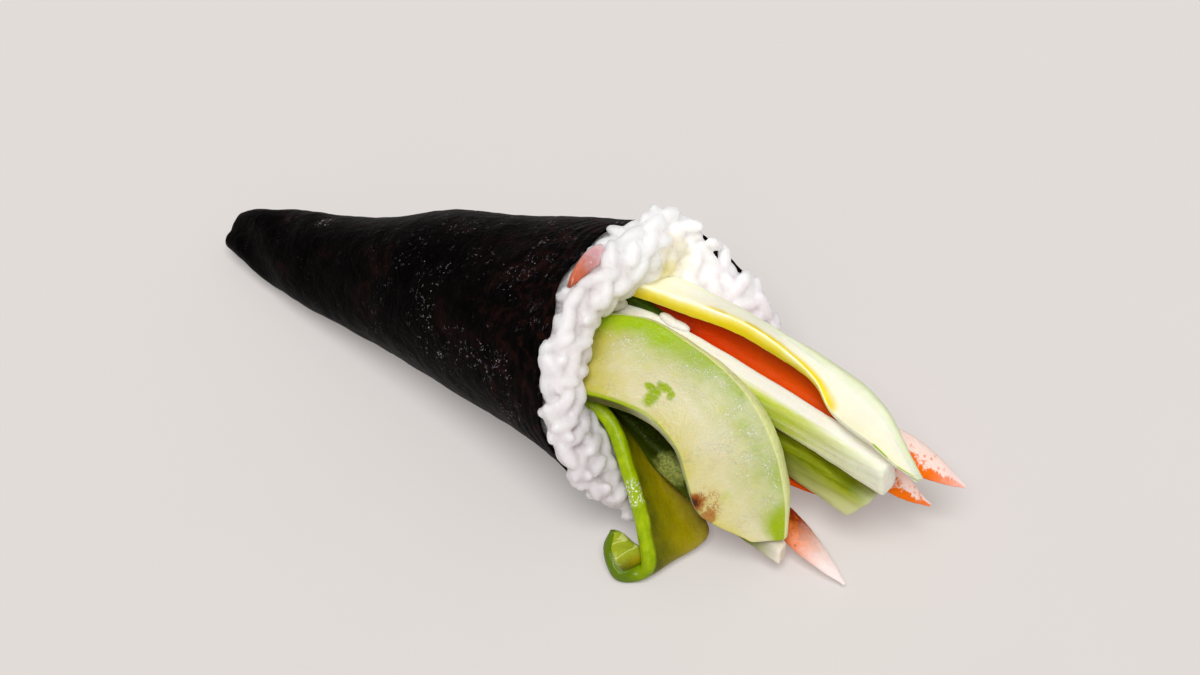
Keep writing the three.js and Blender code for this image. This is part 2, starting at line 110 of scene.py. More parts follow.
def cone_place(p):
    """The inverse of on_cone: s, degrees and radius of points."""
    d = p - TIP
    up, side = d @ RAISED, d @ ACROSS
    return d @ AXIS, np.degrees(np.arctan2(side, up)), np.hypot(up, side)


def mouth_at(degrees):
    return RIM_AT - RIM_SLANT * np.cos(np.radians(degrees + 30))


def rim_at(degrees):
    a = np.radians(degrees)
    short_side = -6.5 * hump(degrees, -132, 34)
    bite = -2.6 * hump(degrees, -9, 16) - 1.8 * hump(degrees, -76, 20)
    notch = -6 * hump(degrees, 20, 22) - 2 * hump(degrees, 60, 18)
    torn = 0.7 * np.sin(5 * a + 0.6) + 0.5 * np.sin(11 * a + 2.1)
    return mouth_at(degrees) + short_side + bite + notch + torn


# ---- meshes ----


def noise_at(points, size, seed=0.0):
    """Smooth noise between about -1 and 1 with features of the given size."""
    flat = points.reshape(-1, 3) / size + seed
    return np.array([noise.noise(Vector(p)) for p in flat]).reshape(points.shape[:-1])


def turn_outward(mesh):
    """Turns the faces of a closed mesh round if they look inwards."""
    shape = bmesh.new()
    shape.from_mesh(mesh)
    if shape.calc_volume(signed=True) < 0:
        mesh.flip_normals()
    shape.free()


def join(parts):
    """One mesh from several, each given as its places, faces and texture coordinates."""
    places, faces, uvs = [], [], []
    for part, part_faces, part_uvs in parts:
        first = len(places)
        places += part
        faces += [tuple(first + i for i in face) for face in part_faces]
        uvs += part_uvs
    return places, faces, uvs


def build_mesh(name, parts, look, node):
    """A smooth piece on the root body that does the work of one node of the frame."""
    places, faces, uvs = parts
    mesh = bpy.data.meshes.new(name)
    mesh.from_pydata(((np.asarray(places) + FRAME_SHIFT) * MM).tolist(), [], faces)
    if len(uvs):
        layer = mesh.uv_layers.new(name="UVMap")
        layer.data.foreach_set("uv", np.asarray(uvs, dtype=np.float32).ravel())
    mesh.polygons.foreach_set("use_smooth", [True] * len(mesh.polygons))
    mesh.materials.append(look)
    mesh.validate()
    turn_outward(mesh)
    piece = bpy.data.objects.new(name, mesh)
    bpy.context.scene.collection.objects.link(piece)
    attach(piece, "root")
    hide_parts(node)
    return piece


def outward_normals(rings):
    along = np.gradient(rings, axis=0)
    around = np.roll(rings, -1, axis=1) - np.roll(rings, 1, axis=1)
    normals = unit(np.cross(around, along))
    return normals * np.sign(np.sum(normals * (rings - rings.mean(axis=1, keepdims=True))))


def roughened(rings, *layers):
    """Rings pushed in and out along their normals by noises of (depth, size, seed)."""
    depth = sum(amount * noise_at(rings, size, seed) for amount, size, seed in layers)
    return rings + outward_normals(rings) * depth[..., None]


def loft(rings, across=None):
    """Quads through rings of equal length, and smaller rings over each end. `across` is the second
    texture coordinate of each ring's points, by default 0 to 1 round the ring; the first one runs
    from 0 to 1 along the rings, down to -0.2 over the first cap and up to 1.2 over the last."""
    count, sides = rings.shape[:2]
    if across is None:
        across = np.broadcast_to(np.arange(sides + 1) / sides, (count, sides + 1))
    wrap = across.shape[-1] == sides + 1
    places = rings.reshape(-1, 3).tolist()
    along = np.linspace(0, 1, count)
    faces, uvs = [], []

    def band(low, high):
        """Quads between two rings, each given as its first point, its row and its coordinate."""
        (a, row, at), (b, row_b, at_b) = low, high
        for i in range(sides):
            j = (i + 1) % sides
            k = i + 1 if wrap else j
            faces.append((a + i, a + j, b + j, b + i))
            uvs.extend([(at, row[i]), (at, row[k]), (at_b, row_b[k]), (at_b, row_b[i])])

    for r in range(count - 1):
        band((r * sides, across[r], along[r]), ((r + 1) * sides, across[r + 1], along[r + 1]))
    for end, way in ((0, -1), (count - 1, 1)):
        middle, row = rings[end].mean(axis=0), across[end]
        last = (end * sides, row, along[end])
        for share in (0.6, 0.25):
            ring = (len(places), row, last[2] + 0.1 * way)
            places += (middle + (rings[end] - middle) * share).tolist()
            band(*(last, ring)[::way])
            last = ring
        start, centre = last[0], len(places)
        faces += [(start + i, start + (i + 1) % sides, centre)[::way] for i in range(sides)]
        uvs += [(last[2], row[i]) for i in range(sides) for _ in range(3)]
        places.append(middle.tolist())
    return places, faces, uvs


def loft_piece(node, rings, look, across=None):
    return build_mesh(node + "_look", loft(rings, across), look, node)


def catmull_rom(a, b, c, d, share):
    """Points at a share of the way from b to c on the centripetal curve through a, b, c and d."""
    e, f, g = (np.sqrt(np.maximum(np.linalg.norm(v, axis=-1, keepdims=True), 1e-3))
               for v in (b - a, c - b, d - c))
    t1 = f * ((b - a) / e - (c - a) / (e + f) + (c - b) / f)
    t2 = f * ((c - b) / f - (d - b) / (f + g) + (d - c) / g)
    cubic = (2 * b - 2 * c + t1 + t2) * share**3
    return b + t1 * share + (-3 * b + 3 * c - 2 * t1 - t2) * share**2 + cubic


class Curve:
    """A centripetal Catmull-Rom curve through points."""

    def __init__(self, points):
        self.points = np.array(points, float)
        self.table = np.linspace(0, 1, 401)
        laid = self.point(self.table)
        lengths = np.linalg.norm(np.diff(laid, axis=0), axis=1)
        self.run = np.concatenate([[0], np.cumsum(lengths)])

    def point(self, t):
        p = self.points
        p = np.vstack([2 * p[0] - p[1], p, 2 * p[-1] - p[-2]])
        place = np.clip(np.atleast_1d(t), 0, 1) * (len(self.points) - 1)
        k = np.minimum(place.astype(int), len(self.points) - 2)
        return catmull_rom(p[k], p[k + 1], p[k + 2], p[k + 3], (place - k)[:, None])

    def tangent(self, t):
        t = np.atleast_1d(t)
        return unit(self.point(t + 1e-4) - self.point(t - 1e-4))

    def even(self, share):
        """The curve's parameter at a share of its length."""
        return np.interp(share, self.run / self.run[-1], self.table)


def section_through(corners, count):
    """A smooth closed outline through (across, up) corners, as `count` points, at every station."""
    corners = np.stack([np.stack(c, axis=-1) for c in corners], axis=1)
    n = corners.shape[1]
    place = np.arange(count) * n / count
    k = place.astype(int)
    nearby = (corners[:, (k + o) % n] for o in (-1, 0, 1, 2))
    return catmull_rom(*nearby, (place - k)[None, :, None])


def laid_out(origin, across, up, section):
    """Flat sections set in space at each station's origin and directions."""
    return origin[:, None] + across[:, None] * section[..., :1] + up[:, None] * section[..., 1:]


def end_fade(t, share, least):
    return np.sqrt(np.minimum(1, (1 - t) / share + least))


def stations(steps, rounding=0.004):
    """Shares of the length, with extra stations over the rounding of the free end."""
    even = np.linspace(0, 1 - 4 * rounding, steps)
    return np.concatenate([even, 1 - rounding * np.array([2.2, 0.9, 0.25, 0])])


def end_rounding(count):
    """How much each station's section shrinks, so that the free end has no sharp rim."""
    shrink = np.ones(count)
    shrink[-4:] = 0.99, 0.95, 0.87, 0.78
    return shrink


# ---- fillings ----

SLICE_STEPS = 90
RIBBON_STEPS = 150

# Places round the section of a slice: 0 to 1 over the cut face, 2 behind the skin, 3 behind the
# stone side and 4 back at the start.
SLICE_TURN = (0, 0.12, 0.35, 0.7, 0.9, 0.98, 1.2, 1.5, 1.8, 2, 2.1, 2.4, 2.75, 2.9, 3, 3.5, 4)
SLICE_SIDES = 96


def slice_piece(node, outer, inner, skin, pit, look):
    """A crescent slice between its skin side `outer`, `skin` thick, and its stone side `inner`,
    `pit` thick."""
    outside, inside = Curve(outer), Curve(inner)
    t = stations(SLICE_STEPS)
    o, n = outside.point(outside.even(t)), inside.point(inside.even(t))
    along = unit(outside.tangent(outside.even(t)) + inside.tangent(inside.even(t)))
    u = unit(o - n)
    w = np.linalg.norm(o - n, axis=1)
    face = unit(np.cross(along, u))
    face *= np.sign(face @ CUT_FACE_LOOKS)[:, None]
    ts, tp = skin * end_fade(t, 0.16, 0.12), pit * np.minimum(1, (1 - t) / 0.35 + 0.15)
    mid = lambda share: -(tp + (ts - tp) * share)
    zero = np.zeros_like(w)
    section = section_through([
        (0 * w, zero), (0.12 * w, zero), (0.35 * w, zero), (0.7 * w, zero), (w - 1.5, zero),
        (w - 0.3, zero), (w + 0.12 * ts, -0.2 * ts), (w + 0.2 * ts, -0.5 * ts),
        (w + 0.12 * ts, -0.8 * ts), (w - 0.3, -ts), (w - 1.5, mid(0.95)), (0.6 * w, mid(0.6)),
        (0.25 * w, mid(0.25)), (0.1 * w, mid(0.1)), (0 * w, -tp), (-0.15 * tp, -0.5 * tp),
    ], SLICE_SIDES)
    middle = section.mean(axis=1, keepdims=True)
    section = middle + (section - middle) * end_rounding(len(t))[:, None, None]
    corner = np.arange(SLICE_SIDES + 1) * (len(SLICE_TURN) - 1) / SLICE_SIDES
    turn = np.interp(corner, np.arange(len(SLICE_TURN)), SLICE_TURN)
    rings = roughened(laid_out(n, u, face, section), (0.22, 6.0, 3.1), (0.07, 1.7, 9.4))
    return loft_piece(node, rings, look, np.broadcast_to(turn, (len(t), len(turn))))


def stick_rings(path, half, square=5, sides=56, steps=70, roll=0, slant=0, scale=None):
    """Rings of a rounded stick with `half` its width and height along a path."""
    line = Curve(path)
    t = stations(steps)
    centre, along = line.point(line.even(t)), line.tangent(line.even(t))
    side = unit(np.cross(along, UP))
    top = np.cross(side, along)
    size = np.array([scale(x) for x in t]) if scale else np.ones(len(t))
    size *= end_rounding(len(t))
    a = 2 * np.pi * (np.arange(sides) + 0.5) / sides
    c, s = np.cos(a), np.sin(a)
    rounded = (np.abs(c) ** square + np.abs(s) ** square) ** (-1 / square)
    x = half[0] * size[:, None] * (c * rounded)
    y = half[1] * size[:, None] * (s * rounded)
    turn = math.radians(roll)
    lean = np.where(t > 0.9, (t - 0.9) / 0.1, 0)[:, None] * slant * y
    x2, y2 = x * math.cos(turn) - y * math.sin(turn), x * math.sin(turn) + y * math.cos(turn)
    rings = laid_out(centre, side, top, np.stack([x2, y2], axis=-1))
    return rings + along[:, None] * lean[..., None]


def stick_piece(node, look, slot, **shape):
    rings = roughened(stick_rings(**shape), (0.12, 4.0, 1.7), (0.05, 1.3, 5.2))
    return loft_piece(node, rings, look)


def ribbon_piece(node, edge, widths, thick, look):
    """A bent strip between a near edge and the far edge that `widths` away from it gives."""
    near, span = Curve(edge), Curve(widths)
    t = stations(RIBBON_STEPS, 0.003)
    p, w, along = near.point(t), span.point(t), near.tangent(t)
    width = np.linalg.norm(w, axis=1)
    u = unit(w)
    half = 0.5 * thick * end_fade(t, 0.1, 0.2)
    less = np.full_like(width, -0.5)
    section = section_through([
        (less, -0.4 * half), (less, 0.4 * half), (0 * width, 0.85 * half), (0 * width + 0.9, half),
        (0.5 * width, half), (width - 1.6, 0.95 * half), (width - 0.4, 0.7 * half),
        (width, 0 * half), (width - 0.4, -0.7 * half), (width - 1.6, -0.95 * half),
        (0.5 * width, -half), (0 * width + 0.9, -half), (0 * width, -0.85 * half),
    ], 80)
    rings = laid_out(p, u, unit(np.cross(along, u)), section)
    rings = roughened(rings, (0.14, 5.0, 7.7), (0.05, 1.5, 2.2))
    rings[..., 2] = np.maximum(rings[..., 2], 0.15)
    return loft_piece(node, rings, look, section[..., 0] / width[:, None])


# ---- materials ----


def linear(colour):
    """A linear colour from the 0 to 255 values of a screen. Four values are linear already."""
    if len(colour) == 4:
        return colour
    shares = [c / 255 for c in colour]
    return (*(c / 12.92 if c <= 0.04045 else ((c + 0.055) / 1.055) ** 2.4 for c in shares), 1.0)


def halfway(a, b):
    return tuple((x + y) / 2 for x, y in zip(linear(a), linear(b)))


class Look:
    """A Principled material, the colour painted on it so far and short names for its nodes."""

    def __init__(self, name, soak=0.0, depth=1.0, shine=0.5):
        """A share `soak` of the light goes `depth` millimetres in; `shine` is what it reflects."""
        self.material = bpy.data.materials.new(name)
        self.material.use_nodes = True
        self.tree = self.material.node_tree
        self.shader = self.tree.nodes["Principled BSDF"]
        self.set("Subsurface Weight", soak)
        self.set("Subsurface Scale", depth * MM)
        self.set("Specular IOR Level", shine)
        coords = self.node("ShaderNodeTexCoord").outputs
        scaled = {0: coords["Object"], "Scale": 1 / MM}
        self.mm = self.node("ShaderNodeVectorMath", scaled, operation="SCALE").outputs[0]
        self.x, self.y, self.z = self.node("ShaderNodeSeparateXYZ", {0: self.mm}).outputs
        self.along, self.across, _ = self.node("ShaderNodeSeparateXYZ", {0: coords["UV"]}).outputs

    def put(self, socket, value):
        if isinstance(value, bpy.types.NodeSocket):
            self.tree.links.new(value, socket)
        else:
            socket.default_value = linear(value) if socket.type == "RGBA" else value

    def set(self, name, value):
        self.put(self.shader.inputs[name], value)

    def node(self, kind, inputs=None, **settings):
        made = self.tree.nodes.new(kind)
        for key, value in settings.items():
            setattr(made, key, value)
        for socket, value in (inputs or {}).items():
            self.put(made.inputs[socket], value)
        return made

    def math(self, operation, *values):
        """One operation on two values, or on more of them in turn."""
        def made(a, b):
            return self.node("ShaderNodeMath", {0: a, 1: b}, operation=operation).outputs[0]
        return reduce(made, values)

    def add(self, *values):
        return self.math("ADD", *values)

    def times(self, *values):
        return self.math("MULTIPLY", *values)

    def most(self, *values):
        return self.math("MAXIMUM", *values)

    def step(self, value, low, high, to_low=0.0, to_high=1.0):
        """Smoothly from to_low at `low` to to_high at `high`."""
        inputs = {"Value": value, "From Min": low, "From Max": high}
        inputs |= {"To Min": to_low, "To Max": to_high}
        return self.node("ShaderNodeMapRange", inputs, interpolation_type="SMOOTHSTEP").outputs[0]

    def run(self, *levels):
        """A step along the piece."""
        return self.step(self.along, *levels)

    def turn(self, *levels):
        """A step round the piece."""
        return self.step(self.across, *levels)

    def off(self, value, middle=0.5):
        """How far a value is from a middle one: 0 along a noise's contour lines."""
        return self.math("ABSOLUTE", self.math("SUBTRACT", value, middle), 0.0)

    def shift(self, noise, amount):
        """A noise as a shift both ways about 0."""
        return self.times(self.math("SUBTRACT", noise, 0.5), amount)

    def stretched(self, stretch):
        inputs = {0: self.mm, 1: stretch}
        return self.node("ShaderNodeVectorMath", inputs, operation="MULTIPLY").outputs[0]

    def noise(self, size, detail=3.0, rough=0.5, distortion=0.0, stretch=None):
        """Noise from 0 to 1 with features of `size` millimetres."""
        inputs = {"Vector": self.stretched(stretch) if stretch else self.mm, "Scale": 1 / size}
        inputs |= {"Detail": detail, "Roughness": rough, "Distortion": distortion}
        return self.node("ShaderNodeTexNoise", inputs).outputs["Fac"]

    def patches(self, kind, *levels):
        """A step between two levels of a noise: `kind` is what noise() takes."""
        return self.step(self.noise(*kind), *levels)

    def uneven(self, size, low, high):
        return self.patches((size,), 0.3, 0.7, low, high)

    def cells(self, size):
        inputs = {"Vector": self.mm, "Scale": 1 / size}
        return self.node("ShaderNodeTexVoronoi", inputs).outputs["Distance"]

    def spot(self, centre, radius, uneven=0.5, size=2.0, stretch=(1, 1, 1)):
        """1 in the middle of a blotch at a point of the frame and 0 outside its ragged edge."""
        middle = tuple((np.array(centre) + FRAME_SHIFT) * stretch)
        inputs = {0: self.stretched(stretch), 1: middle}
        away = self.node("ShaderNodeVectorMath", inputs, operation="DISTANCE").outputs["Value"]
        ragged = self.shift(self.noise(size, 4.0), 2 * uneven * radius)
        return self.step(self.add(away, ragged), radius, 0.45 * radius)

    def ramp(self, value, stops):
        made = self.node("ShaderNodeValToRGB", {0: value})
        elements = made.color_ramp.elements
        while len(elements) < len(stops):
            elements.new(0.5)
        for element, (place, colour) in zip(elements, stops):
            element.position = place
            element.color = linear(colour)
        return made.outputs[0]

    def mix(self, share, a, b):
        inputs = {"Factor": share, 6: a, 7: b}
        return self.node("ShaderNodeMix", inputs, data_type="RGBA").outputs[2]

    def paint(self, share, colour):
        """Lays a colour over what is painted so far."""
        self.colour = self.mix(share, self.colour, colour)

    def finish(self, roughness, *bumps):
        """The material with its colour, its roughness and bumps of (height, depth in mm)."""
        self.set("Base Color", self.colour)
        self.set("Roughness", roughness)
        below = {}
        for height, depth in bumps:
            made = self.node("ShaderNodeBump", {"Height": height, "Distance": depth * MM, **below})
            below = {"Normal": made.outputs[0]}
            self.set("Normal", made.outputs[0])
        return self.material


def nori_look():
    """Toasted seaweed: nearly black, browner where thin, with small glints painted into its colour
    in clusters.
    """
    look = Look("nori", shine=0.02)
    look.colour = look.ramp(look.noise(9, 4, 0.65, 0.5), [
        (0.4, (2, 1, 1)), (0.56, (6, 3, 3)), (0.72, (25, 11, 9)),
    ])
    thin = look.patches((2.6, 4, 0.65), 0.46, 0.7)
    look.paint(look.times(look.run(0.66, 1), thin), (34, 15, 11))
    # Painted glints: thin strokes and dots, shown only where they gather in groups, mostly towards
    # the rim.
    contour = look.off(look.noise(2.2, 3, 0.6, 0.3))
    strokes = look.times(look.step(contour, 0.012, 0.002), look.patches((0.9, 1), 0.54, 0.62))
    dots = look.times(look.step(look.cells(1.2), 0.17, 0.08), look.patches((1.9, 1), 0.54, 0.64))
    painted_glints = look.most(strokes, dots)
    glint_groups = look.times(look.patches((8, 3, 0.6), 0.47, 0.62),
                        look.run(0.4, 0.75, 0.15, 0.85))
    glint_specks = look.times(look.step(look.cells(0.75), 0.4, 0.15), look.patches((1.5, 2), 0.42, 0.55))
    for place, radius in (((-87.7, 1.6, 20.6), 2.6), ((-46.8, -16.8, 30.1), 2.2),
                          ((-41.7, -20, 25.3), 1.9), ((-58, 4, 37), 2.4), ((-28, -6, 44), 3.2)):
        near = look.spot(place, radius)
        painted_glints = look.most(painted_glints, look.times(near, glint_specks))
        glint_groups = look.most(glint_groups, near)
    # Along the rim the sheet is pleated in fine lines, and the light these catch is painted on as
    # highlights.
    pleat_highlights = look.times(look.patches((0.8, 2, 0.5, 0, (1, 0.22, 0.22)), 0.56, 0.7),
                        look.run(0.9, 0.98), look.patches((5, 2), 0.5, 0.62))
    # Painted glints and highlights: pale marks laid into the nori's colour.
    look.paint(look.times(look.most(painted_glints, pleat_highlights), glint_groups, 0.7), (186, 176, 186))
    return look.finish(0.5, (look.noise(3.4, 4, 0.6, 0.8), 0.5),
                       (look.noise(0.9, 3, 0.6, 0.3), 0.15))


def rice_look(name, depth):
    """Moist rice with light soaking `depth` millimetres into it: painted shade makes it greyer
    towards the floor and the near side, with three bits of green stuck to it."""
    look = Look(name, 1, depth, 0.45)
    look.set("Subsurface Radius", (1.2, 1.15, 1.15))
    look.colour = look.ramp(look.noise(3.4), [
        (0.3, (238, 233, 236)), (0.5, (248, 245, 244)), (0.7, (253, 251, 249)),
    ])
    # Painted shade: greyer towards the floor and on the near side.
    look.paint(look.step(look.z, 46, 8, 0, 0.9), (188, 181, 188))
    look.paint(look.step(look.y, 8, -8, 0, 0.5), (224, 216, 217))
    for place, radius in (((-13, -4.4, 37.4), 0.9), ((-24.5, -16.5, 37), 0.5),
                          ((-20.5, -12.8, 43), 0.5)):
        look.paint(look.spot(place, radius, 0.8, 0.9), (122, 156, 44))
    # Painted shade on the rice by the back slice, tinted yellow-green as if by the avocado beside
    # it.
    for place, radius, share in (((-7.7, 14.4, 43.9), 7, 0.4), ((-9, 12.7, 41), 4, 0.7)):
        look.paint(look.times(look.spot(place, radius, 0.3), share), (214, 204, 138))
    # A painted glow on the rice of the far rim lifts its shaded inside.
    look.set("Emission Color", look.colour)
    look.set("Emission Strength", look.step(look.y, 6, 16, 0, 0.15))
    return look.finish(look.patches((1, 2), 0.35, 0.5, 0.22, 0.6),
                       (look.noise(0.9, 2), 0.06), (look.noise(2.4, 2), 0.1))


def avocado_front_look():
    """The section's second coordinate runs over the cut face from the stone side 0 to the skin 1,
    over the skin to 2, over the back to 3 and over the stone side to 4."""
    look = Look("avocado_flesh", 0.12, 1.5, 0.25)
    wander = look.shift(look.noise(5, 4, 0.6), 0.3)
    v = look.add(look.across, wander)
    look.colour = look.ramp(v, [
        (0, (208, 198, 108)), (0.14, (216, 206, 142)), (0.42, (217, 209, 164)),
        (0.66, (198, 199, 134)), (0.82, (170, 186, 92)), (1, (158, 182, 46)),
    ])
    look.paint(look.patches((9,), 0.42, 0.7, 0, 0.5), (222, 216, 188))
    # Painted shade: the flesh turns olive where it meets the rice.
    shade_by_rice = look.step(look.add(look.along, look.times(wander, 0.3)), 0.29, 0.17)
    look.paint(look.times(shade_by_rice, 0.9), (188, 178, 66))
    streak = look.noise(3, 4, 0.65, 0.6, (0.5, 1, 1))
    look.paint(look.step(streak, 0.58, 0.72, 0, 0.22), (210, 206, 70))
    # A vivid green band inside the skin near the rice, and a patch of it at the free end.
    upper = look.times(look.step(v, 0.66, 0.9), look.run(0.46, 0.32))
    look.paint(look.times(upper, look.step(streak, 0.3, 0.5, 0.75, 1)), (160, 190, 0))
    corner = look.times(look.step(v, 0.42, 0.78), look.run(0.85, 0.92))
    look.paint(corner, (156, 178, 0))
    smear = [((4.4, -12.2, 35.1), 2.1, (1.15, 0.6, 1)), ((3.4, -10.8, 35.8), 1.4, (0.7, 1.2, 1)),
             ((5.4, -9.4, 35.8), 1.5, (0.6, 1.2, 1)), ((7.3, -10, 35.2), 1.1, (1, 0.7, 1)),
             ((4.6, -10.6, 35.6), 1.2, (1, 1, 1))]
    look.paint(look.most(*(look.spot(place, radius, 0.4, 1.3, stretch)
                           for place, radius, stretch in smear)), (152, 174, 0))
    look.paint(look.times(look.spot((24.5, -15.5, 20), 3.2, 0.5), 0.4), (186, 200, 70))
    # Frosty cells, thick near the skin, and thin scratches of them over the flesh: partly the
    # flesh's own frost, partly painted glints.
    frost_and_light = look.times(look.patches((0.36, 2), 0.52, 0.66), look.patches((3.4,), 0.46, 0.6),
                       look.turn(0.35, 0.8, 0.1, 0.75))
    scratches = look.times(look.step(look.off(look.noise(2.4, 3, 0.6, 0.5)), 0.01, 0.002),
                           look.patches((6, 2), 0.5, 0.62, 0, 0.5))
    less = look.step(look.most(upper, corner), 0, 0.7, 1, 0.1)
    frost_and_light = look.times(look.most(frost_and_light, scratches), less)
    look.paint(frost_and_light, (240, 241, 228))
    # A bruise where the stone side turns, with thin brown veins running out of it.
    vein = look.step(look.off(look.noise(2, 3, 0.6)), 0.03, 0.006)
    around = look.spot((20.6, -17.4, 17.8), 4.6, 0.25)
    look.paint(look.times(vein, around, 0.8), (150, 88, 30))
    look.paint(look.times(around, 0.25), (196, 152, 80))
    look.paint(look.times(look.spot((21.8, -17.6, 15.4), 2.2, 0.6, 1.2), 0.8), (166, 104, 36))
    look.paint(look.spot((18.6, -18, 18.4), 2.6, 0.5, 1.2), (152, 80, 16))
    look.paint(look.spot((18.4, -18.3, 18.2), 1.5, 0.7, 0.7), (76, 34, 4))
    # The skin side and a strip of the cut face by it are pale: their own pale green and a painted
    # highlight on the rounded edge.
    rim = look.times(look.turn(0.965, 0.985), look.run(0.3, 0.42))
    skin = look.most(rim, look.turn(0.99, 1.05))
    look.paint(look.times(skin, look.turn(2.05, 1.95)), (224, 228, 160))
    inner = look.times(look.turn(0.05, 0), look.run(0.52, 0.34))
    look.paint(inner, (164, 172, 20))
    under = look.times(look.turn(3.97, 3.8), look.turn(2.5, 3))
    shaded = look.mix(look.run(0.3, 0.44), (84, 82, 4), (184, 180, 142))
    look.paint(under, shaded)
    return look.finish(look.uneven(2, 0.28, 0.55), (look.noise(4), 0.4),
                       (look.noise(0.6, 2), 0.16), (frost_and_light, 0.1))


def avocado_back_look():
    """Pale flesh; the section's second coordinate runs as on the front slice."""
    look = Look("avocado_pale", 0.15, 1.5, 0.25)
    wander = look.shift(look.noise(5), 0.5)
    v = look.add(look.across, look.times(wander, 0.3))
    look.colour = look.ramp(v, [
        (0, (250, 243, 204)), (0.3, (251, 246, 218)), (0.7, (249, 246, 226)),
        (0.92, (238, 241, 212)), (1, (230, 236, 194)),
    ])
    stone_side = look.turn(2.6, 2.9)
    cut_face = look.turn(1.5, 1)
    look.paint(stone_side, (238, 236, 212))
    # The lower edge is a yellow rind as far as the prawn's end, where it hooks over the cut face.
    before = look.run(0.725, 0.695)
    outside = look.run(0.26, 0.36)
    lower = look.add(look.across, wander)
    pale = look.most(look.times(look.step(v, 0.34, 0, 0, 0.85), cut_face, outside),
                     look.times(look.step(lower, 4.1, 3.6), stone_side))
    look.paint(look.times(pale, before), (232, 216, 84))
    patchy = look.times(look.patches((4, 2), 0.44, 0.6), outside)
    hook = look.times(look.step(v, 0.34, 0.04), look.most(patchy, look.run(0.42, 0.56)))
    vivid = look.times(look.step(lower, 3.7, 3.35), stone_side,
                       look.run(0.2, 0.4, 0.75, 1))
    look.paint(look.times(look.most(vivid, hook), before), (222, 198, 8))
    # Past it the edge is pale green, vivid in two short places.
    rim = look.most(look.times(look.turn(0.05, 0), cut_face),
                    look.times(look.turn(3.7, 3.85), stone_side))
    look.paint(look.times(rim, look.run(0.84, 0.88, 0, 0.6)), (205, 222, 130))
    for middle in (0.862, 0.94):
        green = look.step(look.off(look.along, middle), 0.028, 0.018)
        look.paint(look.times(rim, green), (156, 196, 8))
    # A painted glow lifts the thin slice's shaded end by the rice, and its lower edge.
    painted_glow = look.run(0.62, 0.25, 0, 0.14)
    edge = look.most(look.times(look.turn(0.3, 0), cut_face),
                     look.turn(3.7, 3.95))
    edge = look.times(edge, look.run(0.74, 0.66, 0, 0.4))
    look.set("Emission Color", look.colour)
    look.set("Emission Strength", look.most(painted_glow, edge))
    return look.finish(look.uneven(2, 0.35, 0.55), (look.noise(4), 0.3),
                       (look.noise(0.7, 2), 0.06))


def avocado_curl_look():
    """Across the ribbon from its near edge 0 to its far edge 1."""
    look = Look("avocado_green", 0.08, 1, 0.2)
    streak = look.noise(3, stretch=(1, 1, 0.35))
    # The concave face is olive, darkest by the near edge: avocado flesh with painted shade over it.
    look.colour = look.ramp(look.add(look.across, look.shift(streak, 0.5)), [
        (0.12, (84, 86, 0)), (0.32, (122, 116, 0)), (0.6, (150, 136, 4)),
        (0.85, (166, 150, 44)), (1, (134, 112, 24)),
    ])
    crease = look.step(look.off(look.noise(4, 2, stretch=(0.5, 0.5, 2))), 0.05, 0.01)
    inside = look.mix(look.times(crease, 0.6), (156, 168, 34), (216, 218, 140))
    look.paint(look.run(0.72, 0.8), inside)
    green = look.ramp(look.noise(1.7), [(0.3, (138, 166, 0)), (0.7, (168, 190, 8))])
    green = look.mix(look.times(look.run(0.46, 0.66), 0.9), green, (84, 110, 0))
    # Painted glints: pale frosty cells in one spot of the green edge.
    frost_and_light = look.times(look.patches((0.5, 2), 0.5, 0.6), look.spot((6.3, -20.8, 15.6), 3.4))
    green = look.mix(frost_and_light, green, (226, 236, 214))
    look.paint(look.step(look.add(look.across, look.shift(streak, 0.06)), 0.13, 0.07), green)
    return look.finish(look.uneven(1.8, 0.2, 0.42), (look.noise(3), 0.35),
                       (look.noise(0.7, 2), 0.1))


def cucumber_center_look():
    """Round the stick: 0 to 0.125 is the upper near side, on to 0.375 the top, and from 0.875 the
    lower near side."""
    look = Look("cucumber_flesh", 0.2, 1.5, 0.25)
    streak = look.noise(1.5, 3, 0.6, stretch=(0.06, 1, 1))
    look.colour = look.ramp(streak, [
        (0.3, (194, 204, 80)), (0.5, (212, 217, 138)), (0.7, (228, 230, 190)),
    ])
    lime = look.times(look.run(0.86, 0.55), look.step(streak, 0.35, 0.6, 0.95, 0.45))
    low = look.most(look.turn(0.86, 0.9), look.turn(0.17, 0.08))
    look.paint(look.times(lime, low), (196, 214, 20))
    look.paint(look.run(0.72, 0.98, 0, 0.85), (240, 241, 224))
    side = look.colour
    look.paint(look.turn(0.12, 0.19), (246, 244, 234))
    look.paint(look.turn(0.8, 0.86), side)
    look.paint(look.run(0.995, 1.02), (240, 238, 224))
    return look.finish(look.uneven(2, 0.2, 0.4), (streak, 0.2),
                       (look.noise(0.8, 2), 0.06))


